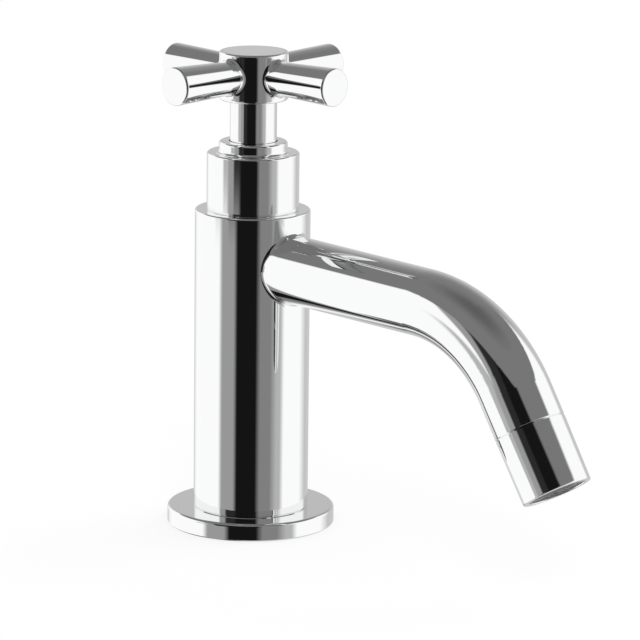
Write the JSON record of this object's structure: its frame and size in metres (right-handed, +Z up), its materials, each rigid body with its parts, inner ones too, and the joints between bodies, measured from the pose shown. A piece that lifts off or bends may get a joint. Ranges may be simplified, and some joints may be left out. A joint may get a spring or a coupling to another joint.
{
  "type": "cross handle tap",
  "caption": "Deck-mounted cold or hot water pillar tap: round column on a flange, drooping bent spout with aerator, and a cross handle that opens it by a quarter turn.",
  "frame": {"origin": "centre of the flange's underside, where it sits on the deck", "axes": "+Z up along the column's axis, away from the deck; the spout leaves towards -Y; +X to the right when facing the spout from the front"},
  "size_m": [0.0672, 0.165, 0.1937],
  "materials": {
    "polished_chrome": "mirror polished",
    "bare_brass": "machined",
    "black_rubber": "matte",
    "stainless_steel": "satin",
    "white_plastic": "moulded",
    "grey_plastic": "moulded",
    "valve_ceramic": "ground and lapped"
  },
  "bodies": {
    "tap_body": {"base_flange": "polished_chrome", "base_gasket": "black_rubber", "column_body": "polished_chrome", "threaded_shank": "bare_brass", "shank_seal": "black_rubber", "rubber_washer": "black_rubber", "metal_washer": "stainless_steel", "backnut": "bare_brass", "spout_tube": "polished_chrome", "spout_nipple": "bare_brass", "spout_seal": "black_rubber", "nozzle": "polished_chrome", "aerator_washer": "black_rubber", "aerator_screen": "stainless_steel", "aerator_cage": "grey_plastic", "headwork_body": "bare_brass", "headwork_seal": "black_rubber", "lip_seal": "black_rubber", "fixed_disc": "valve_ceramic", "slip_washer": "white_plastic", "shroud_sleeve": "polished_chrome", "clamp_ring": "polished_chrome", "neck_bush": "white_plastic"},
    "handle": {"spindle": "bare_brass", "spindle_seals": "black_rubber", "spindle_circlip": "stainless_steel", "rotating_disc": "valve_ceramic", "spline_insert": "white_plastic", "handle_neck": "polished_chrome", "handle_hub": "polished_chrome", "left_arm": "polished_chrome", "right_arm": "polished_chrome", "front_arm": "polished_chrome", "back_arm": "polished_chrome", "handle_screw": "stainless_steel", "top_cap": "polished_chrome"}
  },
  "joints": [
    {"name": "handle_turn", "type": "hinge", "parent": "tap_body", "child": "handle", "pos_m": [0, 0, 0.1385], "axis": [0, 0, 1], "range_deg": [0, 90]}
  ]
}
